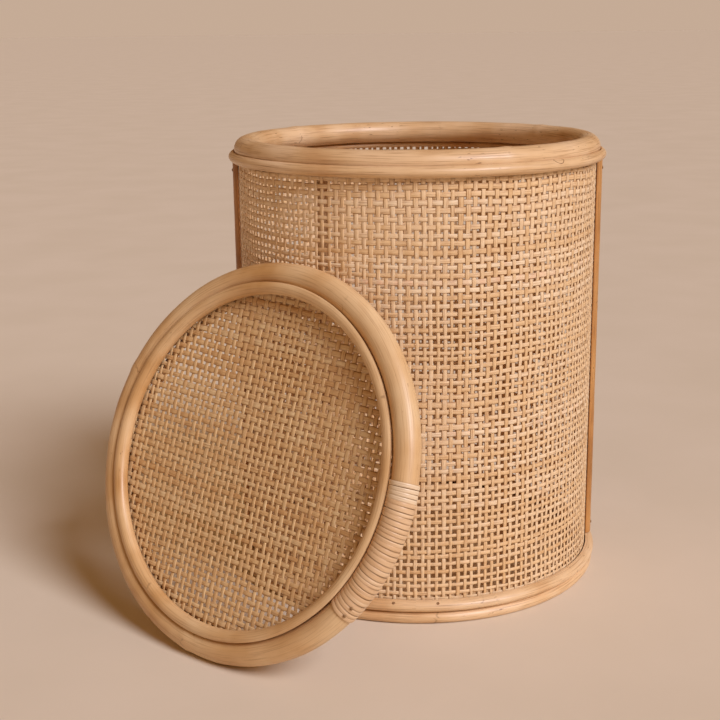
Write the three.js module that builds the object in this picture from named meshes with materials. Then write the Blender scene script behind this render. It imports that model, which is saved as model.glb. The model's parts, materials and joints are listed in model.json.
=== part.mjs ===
// Round rattan bin with woven cane walls and a loose woven lid that leans against it.
// Millimetres, +Z up. The origin is on the floor, on the bin's axis; -Y is the front and the
// wall seams are at +X and -X.
import * as THREE from 'three';

// ---------- driving dimensions ----------
const OUTER_RADIUS = 150;        // over the outer trims, the widest pieces of the bin
const RIM_TOP = 356;             // height of the open rim
const RIM_POLE_RADIUS = 9;       // thick pole that forms the rim
const RIM_RADIUS = 136.5;        // radius of that pole's centre line
const TRIM_DEPTH = 6.5;          // outer trims, measured across the wall
const TRIM_HEIGHT = 9.3;
const WALL_THICKNESS = 2.1;      // woven cane, over and under strands together
const GAP = 0.3;                 // clearance between pieces that touch
const RING_SIDES = 48;           // facets round every ring
const POLE_SIDES = 12;           // facets round every pole's section

const UPRIGHT_COUNT = 6;
const UPRIGHT_RADIUS = 4.4;
const POST_WIDTH = 13;           // half-round posts that cover the wall seams
const POST_DEPTH = 5;
const SEAM_OPENING = 1.6;        // slit between the two wall panels, behind each post
const BOARD_THICKNESS = 5;
const BATTEN_WIDTH = 22;
const NAIL_HEAD_RADIUS = 1.4;
const NAIL_HEAD_HEIGHT = 0.7;
const JOINT_NAIL_ANGLE = 6.5;    // degrees either side of a trim's joint

const LID_POLE_RADIUS = 9.5;
const LID_RADIUS = 136.5;        // radius of the lid pole's centre line
const WRAP_THICKNESS = 0.7;      // cane lashing over the lid pole's joint
const WRAP_START = 7.5;          // degrees round the lid from its level diameter; it runs down
const WRAP_STEPS = 6;            // in facets of the lid pole
const LID_AZIMUTH = -126;        // direction from the bin's axis to the leaning lid, degrees from +X
const LID_LEAN = 21.5;           // lid's angle off the vertical, degrees
const LEAN_CLEARANCE = 0.6;

// ---------- dimensions worked out from them ----------
const TRIM_INNER = OUTER_RADIUS - TRIM_DEPTH;
const WALL_OUTER = TRIM_INNER - 2 * GAP;
const WALL_INNER = WALL_OUTER - WALL_THICKNESS;
const INSIDE_FACE = WALL_INNER - GAP;
const RIM_HEIGHT = RIM_TOP - RIM_POLE_RADIUS;
const FOOT_HEIGHT = 9;
const FOOT_INNER = OUTER_RADIUS - 10.5;
const TRIM_LOW = FOOT_HEIGHT + GAP;
const TOP_TRIM_LOW = RIM_HEIGHT - 10.4;
const BOARD_LOW = FOOT_HEIGHT + GAP;
const HOOP_LOW = BOARD_LOW + BOARD_THICKNESS + GAP;
const HOOP_HEIGHT = 9;
const INNER_TRIM_HEIGHT = 5;
const INNER_TRIM_DEPTH = 3.8;
const INNER_TRIM_LOW = RIM_HEIGHT - 14;
const POST_LOW = TRIM_LOW + TRIM_HEIGHT + GAP;
const POST_HIGH = TOP_TRIM_LOW - GAP;
const UPRIGHT_TOP = INNER_TRIM_LOW - GAP;
const FACET = 2 * Math.PI / RING_SIDES;
// section of the slim poles that clamp the lid's webbing: [radius, distance from the lid's
// mid-plane]. Each is hollowed on one side to nest against the thick pole, clear of the lashing.
const LIP_LOW = WALL_THICKNESS / 2 + GAP;
const LIP_OUTLINE = [
  [122.6, LIP_LOW],
  [121.8, 4.4],
  [122.4, 8.1],
  [124.4, 10.6],
  [127.1, 11.4],
  [129.6, 10.7],
  [130.4, 9.4],
  [127.6, 6.7],
  [125.8, 3.2],
  [125.45, LIP_LOW],
];

const material = (color, roughness, metalness = 0) =>
  new THREE.MeshStandardMaterial({ color, roughness, metalness });
const RATTAN = material('#c99a63', 0.5);
const DARK_RATTAN = material('#a8703f', 0.5);
const WEBBING = material('#dcb488', 0.6);
const PLYWOOD = material('#c8a577', 0.7);
const STEEL = material('#6b625a', 0.4, 1);

const radians = THREE.MathUtils.degToRad;

function add(parent, name, geometry, finish) {
  const mesh = new THREE.Mesh(geometry, finish);
  mesh.name = name;
  parent.add(mesh);
  return mesh;
}

// ---------- shapes ----------

/** A closed outline of [radius, height] points turned round the Z axis. */
function ring(outline) {
  const points = [...outline, outline[0]].map(([r, z]) => new THREE.Vector2(r, z));
  return new THREE.LatheGeometry(points, RING_SIDES).rotateX(Math.PI / 2);
}

/** Outline of a round pole's section. */
function circle(radius, height, poleRadius, sides = POLE_SIDES) {
  return Array.from({ length: sides }, (_, i) => {
    const angle = 2 * Math.PI * i / sides;
    return [radius + poleRadius * Math.cos(angle), height + poleRadius * Math.sin(angle)];
  });
}

/** Outline of a half-round strip: flat on one side, bulging towards `reach` (+ out, - in). */
function halfRound(flat, reach, low, height, steps = 6) {
  return Array.from({ length: steps + 1 }, (_, i) => {
    const angle = -Math.PI / 2 + Math.PI * i / steps;
    return [flat + reach * Math.cos(angle), low + height * (1 + Math.sin(angle)) / 2];
  });
}

/** Puts an outline in the order that turns its faces outwards. */
function outwards(outline) {
  const area = outline.reduce((sum, [r, z], i) => {
    const [r2, z2] = outline[(i + 1) % outline.length];
    return sum + r * z2 - r2 * z;
  }, 0);
  return area > 0 ? outline : [...outline].reverse();
}

/** A curved panel: part of a tube from `start` to `end` (radians). */
function curvedPanel(inner, outer, start, end, low, high) {
  const shape = new THREE.Shape();
  shape.absarc(0, 0, outer, start, end, false);
  shape.absarc(0, 0, inner, end, start, true);
  const steps = Math.round((end - start) / FACET);
  const settings = { depth: high - low, bevelEnabled: false, curveSegments: steps };
  return new THREE.ExtrudeGeometry(shape, settings).translate(0, 0, low);
}

/** An upright cylinder standing on `low`. */
function pole(radius, low, high, sides = POLE_SIDES) {
  const geometry = new THREE.CylinderGeometry(radius, radius, high - low, sides);
  return geometry.rotateX(Math.PI / 2).translate(0, 0, (low + high) / 2);
}

/** A block given by its lowest and highest corners. */
function block(low, high) {
  const size = high.map((value, i) => value - low[i]);
  const middle = high.map((value, i) => (value + low[i]) / 2);
  return new THREE.BoxGeometry(...size).translate(...middle);
}

/** Part of a circle in the XY plane, as a path. */
class RingArc extends THREE.Curve {
  constructor(radius, start, end) {
    super();
    Object.assign(this, { radius, start, end });
  }

  getPoint(t, target = new THREE.Vector3()) {
    const angle = THREE.MathUtils.lerp(this.start, this.end, t);
    return target.set(this.radius * Math.cos(angle), this.radius * Math.sin(angle), 0);
  }
}

/** A nail's head on a surface, `reach` from the axis, facing outwards and `tilt` upwards. */
function nailHead(reach, azimuth, height, tilt = 0) {
  const head = new THREE.CylinderGeometry(
    NAIL_HEAD_RADIUS * 0.7, NAIL_HEAD_RADIUS, NAIL_HEAD_HEIGHT, 10);
  const stand = GAP + NAIL_HEAD_HEIGHT / 2;
  head.rotateZ(-Math.PI / 2).rotateY(-tilt);
  head.translate(reach + stand * Math.cos(tilt), 0, height + stand * Math.sin(tilt));
  return head.rotateZ(azimuth);
}

// ---------- the bin ----------

function addRings(bin) {
  const rim = circle(RIM_RADIUS, RIM_HEIGHT, RIM_POLE_RADIUS);
  add(bin, 'top_rim_pole', ring(outwards(rim)), RATTAN);

  // the top trim's inner corner is hollowed to lie against the rim pole
  const clear = RIM_POLE_RADIUS + GAP;
  const touch = (height) => RIM_RADIUS + Math.sqrt(clear ** 2 - (RIM_HEIGHT - height) ** 2);
  const shoulder = RIM_HEIGHT - Math.sqrt(clear ** 2 - (TRIM_INNER - RIM_RADIUS) ** 2);
  const trimTop = TOP_TRIM_LOW + TRIM_HEIGHT;
  const middle = (shoulder + trimTop) / 2;
  const topTrim = [
    [TRIM_INNER, TOP_TRIM_LOW],
    [OUTER_RADIUS - 2.6, TOP_TRIM_LOW + 0.7],
    [OUTER_RADIUS - 0.5, TOP_TRIM_LOW + 2.8],
    [OUTER_RADIUS, TOP_TRIM_LOW + 4.8],
    [OUTER_RADIUS - 0.7, TOP_TRIM_LOW + 7],
    [OUTER_RADIUS - 2.4, TOP_TRIM_LOW + 8.8],
    [touch(trimTop), trimTop],
    [touch(middle), middle],
    [TRIM_INNER, shoulder],
  ];
  add(bin, 'top_outer_trim', ring(outwards(topTrim)), RATTAN);

  const innerTrim = halfRound(INSIDE_FACE, -INNER_TRIM_DEPTH, INNER_TRIM_LOW, INNER_TRIM_HEIGHT, 4);
  add(bin, 'top_inner_trim', ring(outwards(innerTrim)), RATTAN);

  const bottomTrim = halfRound(TRIM_INNER, TRIM_DEPTH, TRIM_LOW, TRIM_HEIGHT);
  add(bin, 'bottom_outer_trim', ring(outwards(bottomTrim)), RATTAN);

  const footOuter = OUTER_RADIUS - 1.4;
  const foot = [
    [FOOT_INNER, 0],
    [footOuter - 3, 0],
    [footOuter - 0.8, 1.6],
    [footOuter, FOOT_HEIGHT / 2],
    [footOuter - 0.8, FOOT_HEIGHT - 1.6],
    [footOuter - 3, FOOT_HEIGHT],
    [FOOT_INNER, FOOT_HEIGHT],
  ];
  add(bin, 'foot_ring', ring(outwards(foot)), RATTAN);

  const hoop = halfRound(INSIDE_FACE, -HOOP_HEIGHT, HOOP_LOW, HOOP_HEIGHT, 4);
  add(bin, 'base_hoop', ring(outwards(hoop)), RATTAN);
}

function addWalls(bin) {
  const slit = SEAM_OPENING / 2 / WALL_OUTER;
  const low = FOOT_HEIGHT + GAP;
  const panelTop = RIM_HEIGHT - RIM_POLE_RADIUS + GAP;
  const front = curvedPanel(WALL_INNER, WALL_OUTER, Math.PI + slit, 2 * Math.PI - slit, low, panelTop);
  const back = curvedPanel(WALL_INNER, WALL_OUTER, slit, Math.PI - slit, low, panelTop);
  add(bin, 'webbing_front', front, WEBBING);
  add(bin, 'webbing_back', back, WEBBING);
}

function addPosts(bin) {
  const section = new THREE.Shape();
  section.moveTo(TRIM_INNER, -POST_WIDTH / 2);
  section.absellipse(TRIM_INNER, 0, POST_DEPTH, POST_WIDTH / 2, -Math.PI / 2, Math.PI / 2);
  const settings = { depth: POST_HIGH - POST_LOW, bevelEnabled: false, curveSegments: 8 };
  const sides = { seam_post_right: 0, seam_post_left: Math.PI };
  for (const [name, azimuth] of Object.entries(sides)) {
    const post = new THREE.ExtrudeGeometry(section, settings).translate(0, 0, POST_LOW);
    add(bin, name, post.rotateZ(azimuth), DARK_RATTAN);
  }
}

function addUprights(bin) {
  const reach = INSIDE_FACE - UPRIGHT_RADIUS - GAP;
  const low = HOOP_LOW + HOOP_HEIGHT + GAP;
  for (let i = 0; i < UPRIGHT_COUNT; i++) {
    const azimuth = 2 * Math.PI * i / UPRIGHT_COUNT;
    const upright = pole(UPRIGHT_RADIUS, low, UPRIGHT_TOP).translate(reach, 0, 0).rotateZ(azimuth);
    add(bin, `inner_upright_${i + 1}`, upright, RATTAN);
  }
}

function addBase(bin) {
  const board = new THREE.CylinderGeometry(INSIDE_FACE, INSIDE_FACE, BOARD_THICKNESS, RING_SIDES);
  board.rotateX(Math.PI / 2).translate(0, 0, BOARD_LOW + BOARD_THICKNESS / 2);
  add(bin, 'base_board', board, PLYWOOD);

  const half = BATTEN_WIDTH / 2;
  const reach = FOOT_INNER - 2;
  const near = half + GAP;
  add(bin, 'base_batten_long', block([-reach, -half, 0], [reach, half, FOOT_HEIGHT]), PLYWOOD);
  add(bin, 'base_batten_front', block([-half, -reach, 0], [half, -near, FOOT_HEIGHT]), PLYWOOD);
  add(bin, 'base_batten_back', block([-half, near, 0], [half, reach, FOOT_HEIGHT]), PLYWOOD);
}

function addNails(bin) {
  const postFace = TRIM_INNER + POST_DEPTH;
  const posts = { right: 0, left: Math.PI };
  const inset = 8;
  for (const [side, azimuth] of Object.entries(posts)) {
    add(bin, `post_nail_${side}_top`, nailHead(postFace, azimuth, POST_HIGH - inset), STEEL);
    add(bin, `post_nail_${side}_bottom`, nailHead(postFace, azimuth, POST_LOW + inset), STEEL);
  }
  // each outer trim is nailed either side of its joint: at the front below, at the back above
  const trims = [
    { name: 'bottom_trim_nail', azimuth: -90, height: 17.13, reach: 147.94, tilt: 54.4 },
    { name: 'top_trim_nail', azimuth: 90, height: TOP_TRIM_LOW + 4.8, reach: 150, tilt: 0 },
  ];
  for (const { name, azimuth, height, reach, tilt } of trims) {
    for (const [i, side] of [-1, 1].entries()) {
      const angle = radians(azimuth + side * JOINT_NAIL_ANGLE);
      add(bin, `${name}_${i + 1}`, nailHead(reach, angle, height, radians(tilt)), STEEL);
    }
  }
}

// ---------- the lid, in its own plane ----------

function addLid(lid) {
  const rim = circle(LID_RADIUS, 0, LID_POLE_RADIUS);
  add(lid, 'lid_rim_pole', ring(outwards(rim)), RATTAN);
  const sides = { lid_under_lip: 1, lid_top_lip: -1 };
  for (const [name, side] of Object.entries(sides)) {
    const lip = LIP_OUTLINE.map(([r, z]) => [r, side * z]);
    add(lid, name, ring(outwards(lip)), RATTAN);
  }

  const webbingRadius = LID_RADIUS - LID_POLE_RADIUS - WRAP_THICKNESS - 4 * GAP;
  const webbing = new THREE.CylinderGeometry(webbingRadius, webbingRadius, WALL_THICKNESS, RING_SIDES);
  add(lid, 'lid_webbing', webbing.rotateX(Math.PI / 2), WEBBING);

  const sleeve = new THREE.Shape();
  const sleeveInner = LID_POLE_RADIUS + 2 * GAP;
  sleeve.absarc(0, 0, sleeveInner + WRAP_THICKNESS, 0, 2 * Math.PI);
  const bore = new THREE.Path().absarc(0, 0, sleeveInner, 0, 2 * Math.PI);
  sleeve.holes.push(bore);
  const start = radians(WRAP_START);
  const arc = new RingArc(LID_RADIUS, start, start - WRAP_STEPS * FACET);
  const settings = { extrudePath: arc, steps: WRAP_STEPS, curveSegments: POLE_SIDES / 2 };
  add(lid, 'lid_joint_wrap', new THREE.ExtrudeGeometry(sleeve, settings), WEBBING);

  // two nails pin the lashing's last turns, half way between its face and its outer edge
  for (const [i, before] of [5, 2].entries()) {
    const head = new THREE.CylinderGeometry(
      NAIL_HEAD_RADIUS * 0.7, NAIL_HEAD_RADIUS, NAIL_HEAD_HEIGHT, 10);
    head.rotateX(Math.PI / 2);
    head.translate(0, 0, sleeveInner + WRAP_THICKNESS + GAP + NAIL_HEAD_HEIGHT / 2);
    head.rotateY(Math.PI / 4).translate(LID_RADIUS, 0, 0);
    head.rotateZ(start - WRAP_STEPS * FACET + radians(before));
    add(lid, `lid_joint_nail_${i + 1}`, head, STEEL);
  }
}

/** The lid stands on its edge and leans its upper edge on the wall. */
function leaningLid() {
  const lean = radians(LID_LEAN);
  const reach = LID_RADIUS * Math.sin(lean) + LID_POLE_RADIUS + WALL_OUTER + LEAN_CLEARANCE;
  const height = LID_RADIUS * Math.cos(lean) + LID_POLE_RADIUS + GAP / 2;
  const azimuth = radians(LID_AZIMUTH);
  const place = new THREE.Group();
  place.position.set(reach * Math.cos(azimuth), reach * Math.sin(azimuth), height);
  place.rotation.z = azimuth + Math.PI / 2;
  const plane = new THREE.Group();
  plane.rotation.x = Math.PI / 2 - lean;
  addLid(plane);
  place.add(plane);
  return place;
}

const bin = new THREE.Group();
addRings(bin);
addWalls(bin);
addPosts(bin);
addUprights(bin);
addBase(bin);
addNails(bin);

const wastebasket = new THREE.Group();
wastebasket.add(bin, leaningLid());

export default wastebasket;
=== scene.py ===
"""Round cane wastebasket with a loose lid leaning against it, dressed in rattan.

The bin's walls and the lid's panel are woven strand by strand from split cane. The rims, trims
and uprights are turned from peeled rattan pole, and a cane lashing binds the lid's joint.
All lengths are in metres and all angles in degrees unless a name says otherwise.
"""

import json
import logging
import math
from dataclasses import dataclass, field
from enum import Enum
from typing import Callable, Optional, Sequence

import bmesh
import bpy
import numpy as np
from mathutils import Matrix, Vector


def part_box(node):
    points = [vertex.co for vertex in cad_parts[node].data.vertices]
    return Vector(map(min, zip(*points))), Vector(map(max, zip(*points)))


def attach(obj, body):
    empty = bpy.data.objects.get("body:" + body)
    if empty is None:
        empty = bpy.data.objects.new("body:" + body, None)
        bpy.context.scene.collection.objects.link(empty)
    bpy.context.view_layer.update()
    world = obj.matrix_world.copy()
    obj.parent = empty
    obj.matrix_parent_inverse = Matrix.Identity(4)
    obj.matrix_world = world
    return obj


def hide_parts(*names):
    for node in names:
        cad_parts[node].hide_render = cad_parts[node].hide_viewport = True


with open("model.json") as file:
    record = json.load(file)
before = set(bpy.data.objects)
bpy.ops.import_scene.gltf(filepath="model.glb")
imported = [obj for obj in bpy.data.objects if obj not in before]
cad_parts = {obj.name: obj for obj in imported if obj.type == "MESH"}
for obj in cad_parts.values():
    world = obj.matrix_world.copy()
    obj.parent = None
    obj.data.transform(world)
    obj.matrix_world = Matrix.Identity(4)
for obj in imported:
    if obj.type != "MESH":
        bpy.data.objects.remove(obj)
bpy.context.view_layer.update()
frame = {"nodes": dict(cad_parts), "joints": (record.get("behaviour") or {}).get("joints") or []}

log = logging.getLogger("wastebasket")

MM = 0.001
FULL_TURN = 2 * math.pi
RING_STEPS = 320          # faces round a ring: one every 2.7 mm of pole
POLE_SIDES = 24
WALL_THICKNESS = 2.1 * MM

Tree = bpy.types.NodeTree
Socket = bpy.types.NodeSocket
Piece = bpy.types.Object
Finish = bpy.types.Material
Pair = tuple[float, float]
Triple = tuple[float, float, float]


class Body(Enum):
    """The two bodies that pieces ride on."""

    BIN = "bin"
    LID = "lid"


class Stock(Enum):
    """The record's material slots, by what the maker takes off the shelf."""

    POLE = "rattan_pole"
    DARK_POLE = "dark_rattan"
    CANE = "cane_webbing"
    PLY = "plywood"
    STEEL = "nail_steel"


class Run(Enum):
    """Which way a strand of the webbing runs."""

    UPRIGHT = 0
    ROUND = 1


# ---------------------------------------------------------------- colour and node helpers


def srgb(code: str) -> tuple[float, ...]:
    """Turns an sRGB hex colour to linear light.

    Args:
        code: six hex digits, such as "d7af7d".

    Returns:
        Red, green, blue and an alpha of one.
    """
    levels = [int(code[i:i + 2], 16) / 255 for i in (0, 2, 4)]
    linear = [v / 12.92 if v <= 0.04045 else ((v + 0.055) / 1.055) ** 2.4 for v in levels]
    return (*linear, 1.0)


def add_node(
    tree: Tree,
    kind: str,
    inputs: Optional[dict] = None,
    stops: Optional[Sequence[tuple[float, str]]] = None,
    **settings,
) -> bpy.types.Node:
    """Adds a node, sets it up and links what feeds it.

    Args:
        tree: the node tree that it goes in.
        kind: Blender's name for the node.
        inputs: socket name or number to the value it holds or the output that feeds it.
        stops: for a colour ramp, its places and hex colours.
        settings: the node's own properties.

    Returns:
        The new node.
    """
    node = tree.nodes.new(kind)
    for key, value in settings.items():
        setattr(node, key, value)
    if stops:
        elements = node.color_ramp.elements
        while len(elements) < len(stops):
            elements.new(0.5)
        for element, (place, code) in zip(elements, stops):
            element.position = place
            element.color = srgb(code)
    for socket, value in (inputs or {}).items():
        if isinstance(value, Socket):
            tree.links.new(value, node.inputs[socket])
        else:
            node.inputs[socket].default_value = value
    return node


def new_material(name: str) -> tuple[Finish, Tree]:
    """Makes an empty node material and returns it with its tree."""
    material = bpy.data.materials.new(name)
    material.use_nodes = True
    material.node_tree.nodes.clear()
    return material, material.node_tree


def close_material(tree: Tree, surface: dict) -> None:
    """Adds the surface shader with its inputs and links it to the material's output."""
    shader = add_node(tree, "ShaderNodeBsdfPrincipled", surface)
    add_node(tree, "ShaderNodeOutputMaterial", {"Surface": shader.outputs[0]})


def streaks(
    tree: Tree, place: Socket, size: Triple,
    detail: float, roughness: float = 0.5, distortion: float = 0.0,
    shift: Optional[Socket | Triple] = None,
) -> Socket:
    """Noise drawn out lengthwise.

    Args:
        tree: the material's node tree.
        place: the coordinates that it lies on, in metres.
        size: length of a streak along each of their axes.
        detail: octaves of finer noise in it.
        roughness: how strong the finer noise is.
        distortion: how far it swirls.
        shift: moves the pattern, in streak sizes, so that two uses don't look alike.

    Returns:
        The noise, from 0 to 1.
    """
    scale = {"Vector": place, "Scale": tuple(1 / length for length in size)}
    along = add_node(tree, "ShaderNodeMapping", scale).outputs[0]
    if shift is not None:
        along = add_node(tree, "ShaderNodeVectorMath", {0: along, 1: shift}, operation="ADD").outputs[0]
    settings = {
        "Vector": along, "Scale": 1.0, "Detail": detail, "Roughness": roughness,
        "Distortion": distortion,
    }
    return add_node(tree, "ShaderNodeTexNoise", settings).outputs["Fac"]


# ---------------------------------------------------------------- finishes


@dataclass(frozen=True)
class PeeledRattan:
    """Rattan pole with its skin peeled off, sanded and sealed with a thin satin lacquer.

    It gives the eye a warm straw to honey tone that drifts along the pole, long hair-fine
    lines of open pores, a few short brown flecks left by the peeling knife, and a brown
    broken ring with a slight swelling where a leaf sheath grew. One oval mark shows where a
    side shoot was cut off.
    """

    name: str = "peeled_rattan"
    light: str = "edcda4"
    body: str = "e1bc8c"
    deep: str = "cfa06c"
    pore: str = "8f5d2b"
    pore_share: float = 0.6
    fleck: str = "704423"
    fleck_level: float = 0.67
    fleck_share: float = 0.85
    roughness: float = 0.40
    tone_size: float = 60 * MM
    patch_size: float = 55 * MM        # flecks come in patches
    pore_length: float = 34 * MM
    pore_width: float = 0.95 * MM      # real pores are 0.3 mm; drawn wider so that they show
    fleck_length: float = 7 * MM
    fleck_width: float = 1.5 * MM
    scar_width: float = 0.8 * MM
    scar_share: float = 0.42
    stray: float = 8 * MM              # how far a scar strays from a straight line
    bud: Pair = (2.254, 12.9 * MM)      # the cut side shoot's place on the grain map
    bud_radius: float = 2.6 * MM
    bud_line: float = 0.45 * MM
    bud_share: float = 0.8
    relief: float = 0.25 * MM

    def make(self) -> Finish:
        """Builds the material from the piece's lengthwise UV map, in metres."""
        material, tree = new_material(self.name)
        grain = add_node(tree, "ShaderNodeUVMap", uv_map="grain").outputs["UV"]
        pores = self.lines(tree, grain, self.pore_length, self.pore_width, 4, 7.9)
        wander = self.lines(tree, grain, 30 * MM, 7 * MM, 2, 19.3)
        strayed = add_node(
            tree, "ShaderNodeMath", {0: wander, 1: 2 * self.stray, 2: -self.stray},
            operation="MULTIPLY_ADD",
        ).outputs[0]
        scar = self.scar(tree, grain, strayed)
        colour = self.wood(tree, grain, pores)
        for share in (scar, self.side_shoot(tree, grain, strayed)):
            layers = {0: share, 6: colour, 7: srgb(self.fleck)}
            colour = add_node(tree, "ShaderNodeMix", layers, data_type="RGBA").outputs[2]
        rough = add_node(
            tree, "ShaderNodeMapRange",
            {0: pores, 1: 0.3, 2: 0.75, 3: self.roughness - 0.05, 4: self.roughness + 0.16},
        )
        relief = add_node(tree, "ShaderNodeMath", {0: pores, 1: scar}, operation="ADD")
        bump = add_node(
            tree, "ShaderNodeBump",
            {"Height": relief.outputs[0], "Strength": 0.35, "Distance": self.relief}, invert=True,
        )
        close_material(tree, {
            "Base Color": colour, "Roughness": rough.outputs[0], "Normal": bump.outputs[0],
            "Coat Weight": 0.12, "Coat Roughness": 0.28, "IOR": 1.5,
        })
        return material

    @staticmethod
    def lines(
        tree: Tree, grain: Socket, length: float, width: float,
        detail: float, shift: float,
    ) -> Socket:
        """Noise drawn out along the pole."""
        return streaks(tree, grain, (length, width, 1), detail, 0.55, shift=(shift, 0, shift))

    def wood(
        self, tree: Tree, grain: Socket, pores: Socket,
    ) -> Socket:
        """The pole's colour with its pores and flecks."""
        # broad tones sit in space, so that they run on over the joint of a bent pole
        place = add_node(tree, "ShaderNodeTexCoord").outputs["Object"]
        tone, patches = (
            add_node(
                tree, "ShaderNodeTexNoise", {"Vector": place, "Scale": 1 / size, "Detail": detail},
            ).outputs["Fac"]
            for size, detail in ((self.tone_size, 3), (self.patch_size, 1))
        )
        flecks = self.lines(tree, grain, self.fleck_length, self.fleck_width, 2, 13.1)
        colour = add_node(
            tree, "ShaderNodeValToRGB", {"Fac": tone},
            stops=[(0.30, self.deep), (0.46, self.body), (0.66, self.light)],
        ).outputs[0]
        pore_mask, fleck_mask, patch_mask = (
            add_node(tree, "ShaderNodeMapRange", {0: value, 1: low, 2: high, 4: most}).outputs[0]
            for value, low, high, most in (
                (pores, 0.50, 0.70, self.pore_share),
                (flecks, self.fleck_level, self.fleck_level + 0.05, 1.0),
                (patches, 0.50, 0.62, self.fleck_share),
            )
        )
        both = {0: fleck_mask, 1: patch_mask}
        fleck_mask = add_node(tree, "ShaderNodeMath", both, operation="MULTIPLY").outputs[0]
        for share, brown in ((pore_mask, self.pore), (fleck_mask, self.fleck)):
            layers = {0: share, 6: colour, 7: srgb(brown)}
            colour = add_node(tree, "ShaderNodeMix", layers, data_type="RGBA").outputs[2]
        return colour

    def scar(self, tree: Tree, grain: Socket, strayed: Socket) -> Socket:
        """The sheath scar: a thin wandering ring, missing in places."""
        node_at = add_node(tree, "ShaderNodeAttribute", attribute_name="node_distance").outputs["Fac"]
        offset = add_node(tree, "ShaderNodeMath", {0: node_at, 1: strayed}, operation="ADD")
        distance = add_node(tree, "ShaderNodeMath", {0: offset.outputs[0]}, operation="ABSOLUTE")
        near, far = self.scar_width * 0.4, self.scar_width * 1.5
        ring = add_node(
            tree, "ShaderNodeMapRange", {0: distance.outputs[0], 1: near, 2: far, 3: 1.0, 4: 0.0},
        )
        gaps = self.lines(tree, grain, 200 * MM, 6 * MM, 2, 3.7)
        kept = add_node(tree, "ShaderNodeMapRange", {0: gaps, 1: 0.50, 2: 0.64, 4: self.scar_share})
        both = {0: ring.outputs[0], 1: kept.outputs[0]}
        return add_node(tree, "ShaderNodeMath", both, operation="MULTIPLY").outputs[0]

    def side_shoot(self, tree: Tree, grain: Socket, strayed: Socket) -> Socket:
        """The outline of the cut side shoot."""
        ends = {0: grain, 1: (*self.bud, 0)}
        away = add_node(tree, "ShaderNodeVectorMath", ends, operation="DISTANCE").outputs["Value"]
        reach = add_node(tree, "ShaderNodeMath", {0: away, 1: strayed}, operation="ADD").outputs[0]
        band = {0: reach, 1: self.bud_radius, 2: self.bud_line}
        outline = add_node(tree, "ShaderNodeMath", band, operation="COMPARE").outputs[0]
        share = {0: outline, 1: self.bud_share}
        return add_node(tree, "ShaderNodeMath", share, operation="MULTIPLY").outputs[0]


@dataclass(frozen=True)
class CaneStrand:
    """Strands of split rattan cane core, woven dry and lightly sealed.

    It gives the eye a pale, matt straw colour that changes from strand to strand, some pinkish
    and some yellowish, with fine lengthwise fibres and edges darkened by painted shade.
    """

    name: str = "split_cane"
    tones: tuple[tuple[float, str], ...] = (
        (0.0, "c8985f"), (0.2, "dfb681"), (0.42, "eac694"), (0.62, "f0d1a6"), (0.82, "f5ddb8"),
        (1.0, "f0caa4"),
    )
    fibre: str = "9a6230"
    # painted shade: the brown that darkens each strand towards its two edges, and how strongly
    edge: str = "9c6230"
    edge_shade_share: float = 0.42
    roughness: float = 0.52
    half_width: float = 1.95 * MM
    fibre_width: float = 0.55 * MM     # real fibres are 0.2 mm; drawn wider so that they show
    fibre_length: float = 16 * MM
    stain_length: float = 6.5 * MM
    stain_width: float = 8 * MM
    fibre_share: float = 0.65
    sheen_coat: float = 0.06

    def make(self) -> Finish:
        """Builds the material from each strand's own tone and its lengthwise UV map."""
        material, tree = new_material(self.name)
        grain = add_node(tree, "ShaderNodeUVMap", uv_map="grain").outputs["UV"]
        tone = add_node(tree, "ShaderNodeAttribute", attribute_name="strand_tone").outputs["Fac"]
        # every strand takes its streaks from another depth of the noise
        depth = add_node(tree, "ShaderNodeMath", {0: tone, 1: 97.0}, operation="MULTIPLY")
        own = add_node(tree, "ShaderNodeCombineXYZ", {"Z": depth.outputs[0]}).outputs[0]
        stains = streaks(tree, grain, (self.stain_length, self.stain_width, 1), 2, 0.6, shift=own)
        fibres = streaks(tree, grain, (self.fibre_length, self.fibre_width, 1), 2, 0.6, shift=own)

        drift = {0: stains, 1: 0.75, 2: -0.36}
        drifted = add_node(tree, "ShaderNodeMath", drift, operation="MULTIPLY_ADD")
        mixed = {0: tone, 1: drifted.outputs[0]}
        own_tone = add_node(tree, "ShaderNodeMath", mixed, operation="ADD", use_clamp=True)
        colour = add_node(
            tree, "ShaderNodeValToRGB", {"Fac": own_tone.outputs[0]}, stops=self.tones,
        ).outputs[0]
        across = add_node(tree, "ShaderNodeSeparateXYZ", {0: grain}).outputs["Y"]
        reach = add_node(tree, "ShaderNodeMath", {0: across}, operation="ABSOLUTE").outputs[0]
        # fibres first, then painted shade that darkens each strand towards its edges
        for value, low, high, most, brown in (
            (fibres, 0.5, 0.72, self.fibre_share, self.fibre),
            (reach, self.half_width * 0.62, self.half_width * 1.05, self.edge_shade_share, self.edge),
        ):
            share = add_node(tree, "ShaderNodeMapRange", {0: value, 1: low, 2: high, 4: most})
            layers = {0: share.outputs[0], 6: colour, 7: srgb(brown)}
            colour = add_node(tree, "ShaderNodeMix", layers, data_type="RGBA").outputs[2]
        bump = add_node(
            tree, "ShaderNodeBump", {"Height": fibres, "Strength": 0.4, "Distance": 0.15 * MM},
            invert=True,
        )
        close_material(tree, {
            "Base Color": colour, "Roughness": self.roughness, "Normal": bump.outputs[0],
            "Coat Weight": self.sheen_coat, "Coat Roughness": 0.35, "IOR": 1.5,
        })
        return material


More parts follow.
